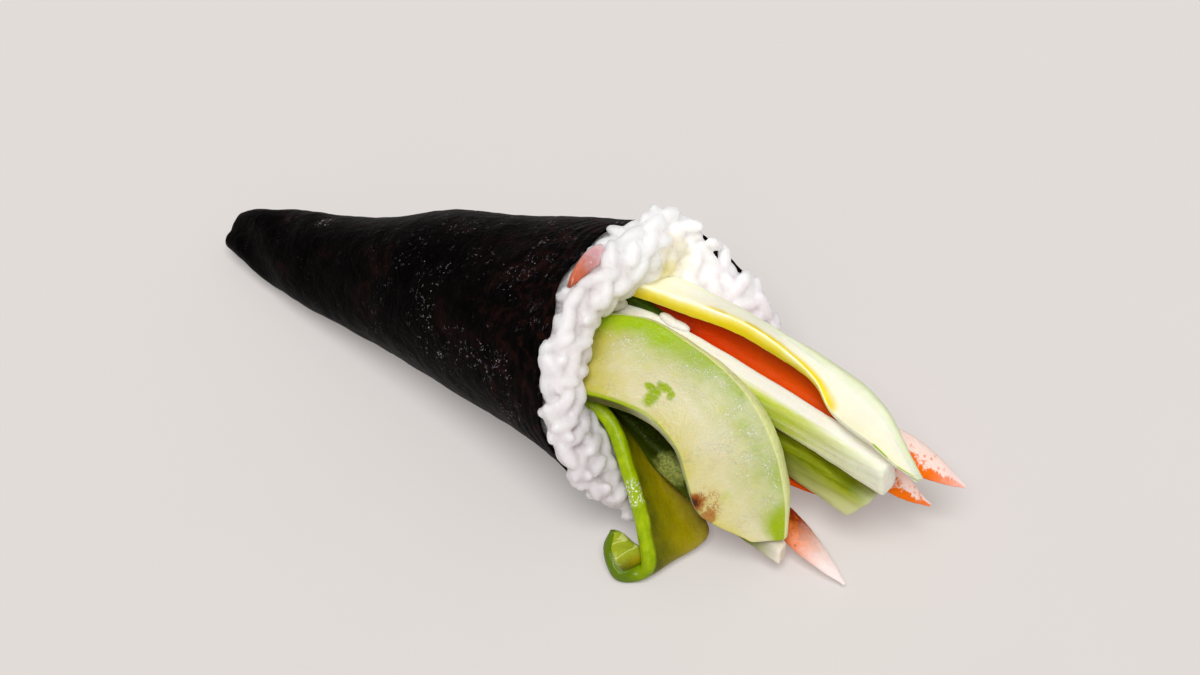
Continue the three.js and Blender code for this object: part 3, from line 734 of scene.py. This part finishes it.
def cucumber_skin_look(name, dark, side, low, end, tip=1.02, frosty=0.1, lit_patch=None):
    """A dark skin on top of the stick and lighter flesh down its near side, which darkens towards
    the top partly as painted shade; the flesh pales to `end` up to `tip` of the length. `lit_patch`
    is a place of the skin painted lighter, painted light with frosty speckles."""
    look = Look(name, 0.05, 1.2, 0.08)
    streak = look.noise(2, 3, 0.6, stretch=(0.08, 1, 1))
    height = look.math("DIVIDE", look.math("FRACT", look.add(look.across, 0.14), 0), 0.25)
    height = look.add(height, look.shift(streak, 0.5))
    # Up the near side the colour darkens to the skin's: partly its own green, partly painted shade
    # under the top edge.
    by_rice = look.ramp(height, [(0, side), (0.85, dark)])
    by_end = look.ramp(height, [(0.1, low), (0.6, halfway(low, side)), (1, side)])
    look.colour = look.mix(look.run(0.66, 0.96), by_rice, by_end)
    skin = look.mix(look.step(streak, 0.4, 0.7, 0, 0.5), dark, side)
    specks = look.times(look.patches((0.45, 2), 0.58, 0.68), 0.35, frosty)
    skin = look.mix(specks, skin, low)
    edge = look.add(look.across, look.shift(look.noise(2), 0.03))
    look.paint(look.times(look.step(edge, 0.075, 0.115), look.step(edge, 0.42, 0.4)), skin)
    # Painted light: a lighter patch of the skin, with frosty speckles.
    if lit_patch:
        frost_and_light = look.patches((0.5, 2), 0.38, 0.6, 0.5, 1)
        look.paint(look.times(look.spot(lit_patch, 4.6, 0.4, 1.6), frost_and_light), (158, 166, 84))
    look.paint(look.run(tip - 0.12, tip), end)
    return look.finish(look.uneven(2, 0.45, 0.65), (streak, 0.2),
                       (look.noise(0.8, 2), 0.06))


def prawn_look(name, body, fan, tip, start, end, beyond=None):
    """Along X the flesh goes from body[0] to body[2], its darker inner end painted shade; from
    `start` to
    `end` it is the tail's fans, fan[0] underneath and fan[1] on top, with dots of fan[2] and a band
    of fan[3], paling to `tip`. `beyond` is the colour of a fan on the far side."""
    look = Look(name, 0.06, 1.2, 0.06)
    # The body is darker deeper in: painted shade under the fillings above it.
    cloud = look.shift(look.noise(5, 3, 0.6, 0.4), 26)
    run = look.step(look.add(look.x, cloud), start - 58, start - 12)
    look.colour = look.ramp(run, [(0, body[0]), (0.5, body[1]), (1, body[2])])
    fibres = look.noise(1.6, 3, 0.6, 0.3, (0.3, 1, 1))
    look.paint(look.step(fibres, 0.5, 0.75, 0, 0.3), body[2])
    veins = look.shift(look.noise(1.8, 4, 0.7, 0.6), 0.5)
    turn = look.add(look.across, veins)
    upper = look.times(look.step(turn, 0.16, 0.24), look.step(turn, 0.72, 0.6))
    fans = look.mix(upper, fan[0], fan[1])
    dots = look.times(look.step(look.cells(1.3), 0.34, 0.16), look.patches((3,), 0.46, 0.58))
    fans = look.mix(look.times(dots, 0.7), fans, fan[2])
    if len(fan) > 3:
        band = look.times(look.step(turn, 0.27, 0.31), look.step(turn, 0.46, 0.42))
        fans = look.mix(look.times(band, look.step(look.x, end - 8, end - 14)), fans, fan[3])
    look.paint(look.step(look.x, start, start + 5), fans)
    look.paint(look.step(look.add(look.x, look.times(veins, 10)), end - 14, end - 2), tip)
    if beyond:
        look.paint(look.step(look.y, 1.2, 2.4), beyond)
    return look.finish(look.uneven(1.5, 0.35, 0.55), (fibres, 0.2),
                       (look.noise(0.7, 2), 0.08))


def flake_look():
    """Pink at one end of the flake and brown at the other, with pale streaks of painted sheen."""
    look = Look("prawn_pale", 0.5, 1.5)
    wander = look.shift(look.noise(2, 4, 0.65, 0.5), 0.5)
    look.colour = look.ramp(look.add(look.along, wander), [
        (0, (226, 190, 196)), (0.35, (206, 150, 146)), (0.6, (206, 122, 98)),
        (0.82, (206, 104, 62)), (1, (150, 70, 40)),
    ])
    sheen_streaks = look.patches((0.9, 3, 0.6, 0.2, (0.4, 1, 1)), 0.5, 0.72)
    # Painted sheen: pale streaks over the pink end.
    look.paint(look.times(sheen_streaks, look.run(0.6, 0.35), 0.5), (244, 226, 232))
    return look.finish(0.18, (look.noise(1.5), 0.3))


# ---- nori ----

NORI_SIDES = 230
NORI_RINGS = 170
NORI_INNER_RINGS = 40
RELIEF_LIMIT = 0.45


def nori_relief(s, degrees):
    """How far the wrinkled sheet stands off the plain cone."""
    p = on_cone(s, degrees, cone_radius(s, degrees))
    near_rim = smoothstep(s, rim_at(degrees) - 16, rim_at(degrees) - 3)
    ripple = 0.09 * near_rim * np.sin(2.6 * (s - rim_at(degrees)) + 2.5 * noise_at(p, 7.0, 4.0))
    relief = (
        0.25 * noise_at(p, 13.0, 0.3)
        + 0.18 * noise_at(p, 5.0, 8.1)
        + 0.08 * noise_at(p, 2.1, 2.7)
        + ripple
    )
    return np.clip(relief, -RELIEF_LIMIT, RELIEF_LIMIT)


def make_nori(look):
    """The sheet from its closed tip out to the ragged rim, and back down its inside."""
    degrees = np.arange(NORI_SIDES) * 360 / NORI_SIDES
    rim = rim_at(degrees) + 0.35 * noise_at(on_cone(100, degrees, 28.0), 2.2, 6.6)
    tip = [np.full(NORI_SIDES, s0) for s0 in (-4.3, -3.9, -3.2, -1.6)]
    s = np.array(tip + [share * rim for share in np.linspace(0, 1, NORI_RINGS)])
    d = np.broadcast_to(degrees, s.shape)
    relief = nori_relief(s, d) * smoothstep(s, -3.0, 2.0)
    surface = on_cone(s, d, cone_radius(s, d) + relief)
    inner_shares = np.linspace(1, 0.13, NORI_INNER_RINGS)
    si = inner_shares[:, None] * rim[None]
    di = np.broadcast_to(degrees, si.shape)
    keep = np.where(inner_shares > 0.97, 1.0, 0.0)[:, None]
    ri = cone_radius(si, di) - NORI_THICK * 0.65 + nori_relief(si, di) * keep - 0.25 * (1 - keep)
    inside = on_cone(si, di, ri, NORI_THICK * 0.7)
    along = np.concatenate([s[:, 0] / rim[0], inner_shares])
    places, faces, uvs = loft(np.concatenate([surface, inside]))
    uvs = np.array(uvs)
    uvs[:, 0] = np.interp(uvs[:, 0], np.linspace(0, 1, len(along)), along)
    build_mesh("nori_cone_look", (places, faces, uvs), look, "nori_cone")


# ---- rice ----

GRAIN_SEED = 20817
GRAIN_LENGTH = 6.8
GRAIN_WIDTH = 3.1
GRAIN_FLATNESS = 0.86
# Over the mouth: how high each layer lies, how far apart its grains are and how many are tried.
MOUTH_LAYERS = ((0.1, 3.7, 4200), (-0.9, 3.1, 3200), (-1.8, 2.9, 2200))
# Round the side, where the rice stands out of the nori: from and to these degrees.
SIDE_FROM, SIDE_TO = -185, 64
SIDE_APART = 3.0
SIDE_TRIES = 4600
# Degrees of the rim where no grain hides the edge of the nori.
BARE_RIM = ((34, 41), (46, 50), (56, 60))
# The rice leaves a dark hollow here, between the back slice and the sliver of cucumber.
HOLLOW = np.array([-8.5, 8.4, 38.0])
HOLLOW_RADIUS = 3.4
# How far a grain's middle line keeps off a filling, the floor and the nori, and how far past the
# cone it may stand over the rim.
FILLING_CLEAR = 0.75
FLOOR_CLEAR = 1.9
NORI_CLEAR = 1.45
OVER_RIM = 0.6
CORE_SIDES = 120
CORE_FACE = (0.94, 0.88, 0.8, 0.7, 0.6, 0.5, 0.4, 0.3, 0.2, 0.1)
# How finely the grains are merged: a heap of them, and two on their own.
HEAP_CELL = 0.4
STUCK_CELL = 0.25


def rice_face(share):
    return 1.6 * bump(share, 0.86, 0.16) - 11 * bump(share, 0, 0.5)


def crest_at(degrees):
    """How far the rice bulges out over the notch in the rim."""
    return 1.8 * hump(degrees, 33, 20)


def rice_surface(degrees, share, raised=0.0):
    """The heap's face: share 0 is its middle and 1 its edge."""
    degrees, share = np.broadcast_arrays(np.asarray(degrees, float), np.asarray(share, float))
    bulge = 1.4 * hump(degrees, 100, 30) - 3 * hump(degrees, 57, 22)
    far_side = bulge * bump(share, 1, 0.3)
    near_lip = 4 * hump(degrees, -45, 45) * bump(share, 0.68, 0.2)
    top_lip = 3.5 * hump(degrees, 8, 28) * bump(share, 0.72, 0.25)
    s = mouth_at(degrees) + 0.6 + far_side + near_lip + top_lip + rice_face(share) + raised
    crest = crest_at(degrees) * bump(share, 1, 0.25)
    radius = share * (cone_radius(s, degrees) - NORI_THICK - GAP) + crest
    return on_cone(s, degrees, radius, NORI_THICK + GAP)


def rice_core_rings(start, count):
    """Rings of the heap from a share of the rim to the mouth, then over its sunken face."""
    degrees = np.arange(CORE_SIDES) * 360 / CORE_SIDES
    inset = NORI_THICK + GAP + 0.5
    rings = []
    for share in np.linspace(start, 0.955, count):
        s = share * rim_at(degrees)
        rings.append(on_cone(s, degrees, cone_radius(s, degrees) - inset, inset))
    rings += [rice_surface(degrees, share, -0.9) for share in CORE_FACE]
    return np.array(rings)


def grain_template(sides=12, rings=9):
    """A plump grain along X, one unit long each way and one unit in radius."""
    t = np.cos(np.linspace(np.pi, 0, rings + 2))[1:-1]
    r = (1 - np.abs(t) ** 2.5) ** 0.5
    a = 2 * np.pi * np.arange(sides) / sides
    places = [(-1.0, 0.0, 0.0)]
    for x, radius in zip(t, r):
        places += [(x, radius * math.cos(b), radius * math.sin(b)) for b in a]
    places.append((1.0, 0.0, 0.0))
    faces = []
    for i in range(sides):
        j = (i + 1) % sides
        faces.append((0, 1 + j, 1 + i))
        for k in range(rings - 1):
            low, high = 1 + k * sides, 1 + (k + 1) * sides
            faces.append((low + i, low + j, high + j, high + i))
        low = 1 + (rings - 1) * sides
        faces.append((low + i, low + j, len(places) - 1))
    return np.array(places), faces


def grain_at(template, centre, along, outward, half, width, plump=0.0, bend=0.0):
    """A grain with `half` its length and `width` half its width: plumper at one end, and bent."""
    shape, faces = template
    side = unit(np.cross(along, outward))
    top = np.cross(side, along)
    x = shape[:, 0]
    girth = 1 + plump * x
    laid = (
        centre + along * (x * half)[:, None]
        + side * (shape[:, 1] * width * girth)[:, None]
        + top * ((shape[:, 2] * GRAIN_FLATNESS * girth - bend * x**2) * width)[:, None]
    )
    return laid.tolist(), faces, []


def grain_clear(ends, trees):
    """Whether a grain keeps out of the fillings, and behind the nori below the rim."""
    along = np.linspace(0, 1, 5)[:, None]
    line = ends[0] * (1 - along) + ends[1] * along
    if np.linalg.norm(line - HOLLOW, axis=1).min() < HOLLOW_RADIUS:
        return False
    s, degrees, radius = cone_place(line)
    behind, over = -NORI_THICK - NORI_CLEAR, OVER_RIM + crest_at(degrees)
    room = np.where(s < rim_at(degrees) - 0.3, behind, over)
    if np.any(radius > cone_radius(s, degrees) + room) or line[:, 2].min() < FLOOR_CLEAR:
        return False
    for tree in trees:
        for p in line:
            near, normal, _, distance = tree.find_nearest(Vector(p), 12.0)
            if near is None:
                continue
            if (Vector(p) - near).dot(normal) < 0 or distance < FILLING_CLEAR:
                return False
    return True


def crowded(centre, others, apart):
    return bool(others) and np.min(np.linalg.norm(np.array(others) - centre, axis=1)) < apart


def make_grains(look, trees):
    """Grains over the mouth and round the side, with the outer end of the core under them."""
    random = np.random.RandomState(GRAIN_SEED)
    template = grain_template()
    parts = []

    def lay(centre, along, outward):
        """Adds one grain, unless it would run into a filling or through the nori."""
        size = random.uniform(0.84, 1.06)
        half = 0.5 * GRAIN_LENGTH * size * random.uniform(0.88, 1.05)
        if not grain_clear((centre - along * half * 0.72, centre + along * half * 0.72), trees):
            return False
        bend = random.uniform(-0.12, 0.22)
        plump = random.uniform(-0.12, 0.12)
        width = 0.5 * GRAIN_WIDTH * size
        parts.append(grain_at(template, centre, along, outward, half, width, plump, bend))
        return True

    for raised, apart, tries in MOUTH_LAYERS:
        level = []
        for _ in range(tries):
            degrees = 360 * random.rand()
            share = math.sqrt(random.uniform(0.05, 1.1))
            turn = math.pi * random.rand()
            tilt, rise = random.uniform(-0.25, 0.25), random.uniform(-0.3, 0.4)
            centre = rice_surface(degrees, min(share, 1.0), raised)
            if crowded(centre, level, apart):
                continue
            around = unit(rice_surface(degrees + 2, share, raised) - centre)
            outwards = unit(rice_surface(degrees, share - 0.03, raised) - centre)
            facing = unit(np.cross(around, outwards))
            facing *= np.sign(facing @ AXIS) or 1
            along = around * math.cos(turn) + outwards * math.sin(turn) + facing * tilt
            if lay(centre + AXIS * rise, unit(along), facing):
                level.append(centre)
    level = []
    for _ in range(SIDE_TRIES):
        degrees = random.uniform(SIDE_FROM, SIDE_TO)
        share = random.rand()
        if any(low < degrees < high for low, high in BARE_RIM):
            continue
        turn = math.pi * random.rand()
        bare = max(mouth_at(degrees) - rim_at(degrees) - 0.4, 0.5)
        s = rim_at(degrees) + 1.6 + share * bare
        depth = 1.9 - 0.7 * crest_at(degrees)
        centre = on_cone(s, degrees, cone_radius(s, degrees) - depth, 2.2)
        if crowded(centre, level, SIDE_APART):
            continue
        a = math.radians(degrees)
        outward = RAISED * math.cos(a) + ACROSS * math.sin(a)
        around = np.cross(outward, AXIS)
        lean = outward * random.uniform(-0.3, 0.3)
        if lay(centre, unit(AXIS * math.cos(turn) + around * math.sin(turn) + lean), outward):
            level.append(centre)
    plug, plug_faces, _ = loft(rice_core_rings(0.86, 5))
    parts.append((plug, plug_faces, []))
    stick_together(build_mesh("rice_grains", join(parts), look, "sushi_rice"), HEAP_CELL)


def stick_together(piece, cell):
    """Cooked grains cling: their meshes become one skin, with soft creases where they touch."""
    remesh = piece.modifiers.new("cling", "REMESH")
    remesh.mode = "VOXEL"
    remesh.voxel_size = cell * MM
    soften = piece.modifiers.new("soften", "SMOOTH")
    soften.factor = 0.5
    soften.iterations = 2
    made = piece.evaluated_get(bpy.context.evaluated_depsgraph_get())
    mesh = bpy.data.meshes.new_from_object(made)
    piece.modifiers.clear()
    piece.data = mesh
    mesh.polygons.foreach_set("use_smooth", [True] * len(mesh.polygons))


def make_stuck_grains(look):
    """Two grains that came away with the middle cucumber."""
    template = grain_template(20, 14)
    grains = []
    for centre, along, size in (((-3.9, 6.8, 35.1), (0.9, -0.2, 0.0), 0.8),
                                ((-1.7, 6.8, 35.0), (0.9, 0.1, -0.1), 0.75)):
        half, width = 0.5 * GRAIN_LENGTH * size, 0.5 * GRAIN_WIDTH * size
        outward = np.array([0.31, 0.52, 0.79])
        grains.append(grain_at(template, centre, unit(np.array(along)), outward, half, width))
    piece = build_mesh("stuck_grains", join(grains), look, "cucumber_center")
    stick_together(piece, STUCK_CELL)


# ---- the pieces ----


def fan_scale(t):
    past = max(0.0, t - 0.45) / 0.57
    return max(0.14, 1 - past * past)


def prawn_piece(node, look, body, upper, lower):
    """A prawn's body and the two fans of its tail, in one mesh."""
    fan = dict(square=2.2, sides=32, steps=60, scale=fan_scale)
    shapes = (body, fan | upper, fan | lower)
    parts = [loft(roughened(stick_rings(**shape), (0.18, 3.5, 1.7), (0.07, 1.3, 5.2)))
             for shape in shapes]
    return build_mesh(node + "_look", join(parts), look, node)


def make_flake(look):
    """A thin curved strip that lies along the rim at the top."""
    t = np.linspace(0, 1, 40)
    degrees = 3 - 23 * t
    wide = 1.7 * np.sin(np.pi * (0.15 + 0.81 * t) ** 0.8) * (1 + 0.06 * np.sin(9 * t))
    s = mouth_at(degrees) - 1
    centre = on_cone(s, degrees, 0.985 * cone_radius(s, degrees))
    a = np.radians(degrees)[:, None]
    outward = RAISED * np.cos(a) + ACROSS * np.sin(a)
    flat, normal = unit(outward * 0.86 - AXIS * 0.5), unit(outward * 0.5 + AXIS * 0.86)
    thin, lift, zero = 0.6, 1.2, 0 * wide
    section = section_through([
        (-wide, lift - thin + zero), (-wide, lift + 0.5 * thin + zero), (zero, lift + thin + zero),
        (wide, lift + 0.5 * thin + zero), (wide, lift - thin + zero), (zero, lift - thin + zero),
    ], 36)
    rings = laid_out(centre, flat, normal, section)
    return loft_piece("prawn_flake", rings, look)


def tree_of(piece):
    """For finding the nearest point of a piece, in millimetres."""
    mesh = piece.data
    points = [Vector(v.co) / MM - Vector(FRAME_SHIFT) for v in mesh.vertices]
    return BVHTree.FromPolygons(points, [tuple(p.vertices) for p in mesh.polygons])


fillings = [
    slice_piece(
        "avocado_front",
        outer=[(-27, -5.5, 33), (-6.8, 0.4, 40.1), (6.9, 0.9, 38.6), (20, -1.4, 35),
               (28, -4.2, 28), (33, -7.2, 18.5), (35.2, -10, 9.6)],
        inner=[(-19, -18, 29.5), (-4, -17, 34.3), (6, -15.7, 33.6), (13, -16.3, 29.2),
               (16.6, -17.6, 22.5), (20.3, -18.4, 15.9), (30.2, -14.6, 10)],
        skin=6.6, pit=3.6, look=avocado_front_look(),
    ),
    slice_piece(
        "avocado_back",
        outer=[(-24, 15.6, 35.6), (-6.9, 15.7, 38), (16.6, 12, 41.7), (33.3, 11.4, 39),
               (44.9, 9, 37), (53.1, 5.7, 31.4), (57, 4.3, 28.8)],
        inner=[(-21, 8, 38), (-2.5, 7, 42.6), (14.7, 7.5, 43.9), (29.6, 7.2, 38.4),
               (36, 4, 35.2), (46, 2, 34.6), (52, 2.2, 31.2), (56.4, 3, 29.5)],
        skin=3.6, pit=2.9, look=avocado_back_look(),
    ),
    ribbon_piece(
        "avocado_curl",
        edge=[(-15, -15, 28.5), (-5, -14.6, 25.8), (3.5, -19.7, 18.2), (9.3, -23.7, 9.7),
              (13, -28, 3.1), (9.4, -31.2, 1.7), (4.8, -28.8, 4.9), (4.9, -26.6, 8.6)],
        widths=[(0, 3, -8), (1.2, 3.8, -8.6), (5, 8.8, -8.8), (5.8, 13.4, -4.5), (5, 15, -0.6),
                (2.6, 9.6, 0.4), (4.3, 4.9, -0.5), (1.4, 1, -0.5)],
        thick=3.1, look=avocado_curl_look(),
    ),
    stick_piece(
        "cucumber_center", cucumber_center_look(), "cucumber_flesh",
        path=[(-40, 4, 27), (-10, 5, 31.2), (25, 4, 28.9), (50, 3.2, 25.4)],
        half=(2.6, 3.8), slant=-0.25,
    ),
    stick_piece(
        "cucumber_right",
        cucumber_skin_look("cucumber_skin_right", (104, 116, 0), (164, 172, 20),
                           (226, 230, 170), (222, 226, 176)),
        "cucumber_skin",
        path=[(-34, 3.5, 16), (-6, 4.7, 20.2), (22, 4.7, 18.1), (45, 3.9, 14.2)],
        half=(3.2, 4.5), slant=0.45,
    ),
    # The left stick's dark skin colours are partly painted shade.
    stick_piece(
        "cucumber_left",
        cucumber_skin_look("cucumber_skin_left", (38, 48, 0), (74, 88, 14), (146, 154, 84),
                           (240, 230, 212), tip=0.98, frosty=0.6, lit_patch=(9.6, -13.2, 17.4)),
        "cucumber_skin",
        path=[(-34, -3, 27), (-4, -8.4, 20), (14, -11.2, 14.4), (34.9, -10.3, 5.4)],
        half=(2.8, 2.8), roll=12, slant=-0.5, scale=lambda t: 1 - 0.35 * t**4,
    ),
    # The inner sliver has a darker copy of the cucumber skin's colours: painted shade, deep between
    # the fillings.
    stick_piece(
        "cucumber_inner",
        cucumber_skin_look("cucumber_skin_inner", (44, 64, 0), (66, 92, 4), (96, 118, 30),
                           (76, 100, 6)),
        "cucumber_skin",
        path=[(-28, 6.6, 33.4), (-16, 7.2, 35.2), (-6.2, 8, 34.4)],
        half=(1.8, 2.1), steps=40, sides=32, scale=lambda t: 1.05 - 0.8 * t * t,
    ),
    prawn_piece(
        "prawn_back",
        prawn_look("prawn_back", body=((128, 20, 0), (214, 58, 0), (216, 76, 4)),
                   fan=((250, 116, 6), (255, 226, 214), (246, 120, 36)), tip=(250, 226, 222),
                   start=66, end=93),
        body=dict(path=[(-36, 8, 24), (-15, 11.2, 31.5), (0, 12, 30.6), (20, 11.5, 28.2),
                       (34, 10.8, 26.2), (44, 11.2, 23)],
              half=(4.3, 4), square=2.6, scale=lambda t: 1 - 0.45 * t**5),
        upper=dict(path=[(38, 10.8, 25), (45.4, 13.4, 23), (52, 15.8, 18.6), (59.4, 18.5, 14)],
               half=(3.3, 1.2), roll=-22),
        lower=dict(path=[(38, 10.2, 24), (46.2, 8.8, 19.2), (50.6, 9.7, 16), (55.2, 12, 12)],
               half=(2.7, 1.2), roll=-20),
    ),
    prawn_piece(
        "prawn_front",
        prawn_look("prawn_front", body=((170, 60, 10), (214, 84, 10), (226, 92, 6)),
                   fan=((226, 122, 62), (186, 92, 14), (176, 62, 24), (138, 46, 10)),
                   tip=(248, 230, 226), start=52, end=73.5, beyond=(240, 84, 2)),
        body=dict(path=[(-30, -4, 15), (-10, -3, 12.2), (8, -2.4, 11.6), (24, -1.4, 9.4)],
              half=(4, 3.5), square=2.6, scale=lambda t: 1 - 0.35 * t**4),
        upper=dict(path=[(18, -2, 10), (31.5, -4.3, 7), (39.5, -5.9, 4.4), (47.8, -7.5, 1.7)],
               half=(3.1, 1.3), roll=-8),
        lower=dict(path=[(18, 1.2, 11), (26, 3.4, 11.2), (34.8, 3.6, 9.8)], half=(2, 1.1)),
    ),
    make_flake(flake_look()),
]
make_nori(nori_look())
rice = rice_look("rice", 3.6)
build_mesh("rice_core", loft(rice_core_rings(0.2, 28)), rice, "sushi_rice")
make_stuck_grains(rice_look("rice_stuck", 1.2))
make_grains(rice, [tree_of(piece) for piece in fillings])

# ---- floor, lights and camera ----

FLOOR_REACH = 3.0


def add_object(name, data):
    made = bpy.data.objects.new(name, data)
    bpy.context.scene.collection.objects.link(made)
    return made


floor_mesh = bpy.data.meshes.new("floor")
corners = [(x * FLOOR_REACH, y * FLOOR_REACH, 0) for x, y in ((-1, -1), (1, -1), (1, 1), (-1, 1))]
floor_mesh.from_pydata(corners, [], [(0, 1, 2, 3)])
paper = Look("floor_paper", shine=0.0)
paper.set("Emission Strength", 0.28)
paper.set("Emission Color", (228, 222, 219))
paper.colour = paper.mix(paper.noise(40.0), (197, 192, 189), (195, 190, 187))
floor_mesh.materials.append(paper.finish(1.0))
add_object("floor", floor_mesh)

world = bpy.data.worlds.new("studio")
world.use_nodes = True
world.node_tree.nodes["Background"].inputs["Color"].default_value = (1.0, 0.995, 0.99, 1)
world.node_tree.nodes["Background"].inputs["Strength"].default_value = 0.28
bpy.context.scene.world = world

sun_data = bpy.data.lights.new("key", "SUN")
sun_data.angle = math.radians(34)
sun_data.energy = 2.5
sun = add_object("key", sun_data)
sun.rotation_euler = Vector((0.25, -0.46, 1.0)).to_track_quat("Z", "Y").to_euler()

camera_data = bpy.data.cameras.new("camera")
camera_data.lens = 100
camera_data.sensor_width = 36
camera = add_object("camera", camera_data)
camera.location = Vector((267.4, -380.1, 521.6)) * MM
aim = Vector((13.06, -2.93, 33.73)) * MM
camera.rotation_euler = (camera.location - aim).to_track_quat("Z", "Y").to_euler()
bpy.context.scene.camera = camera
bpy.context.scene.view_settings.view_transform = "Standard"
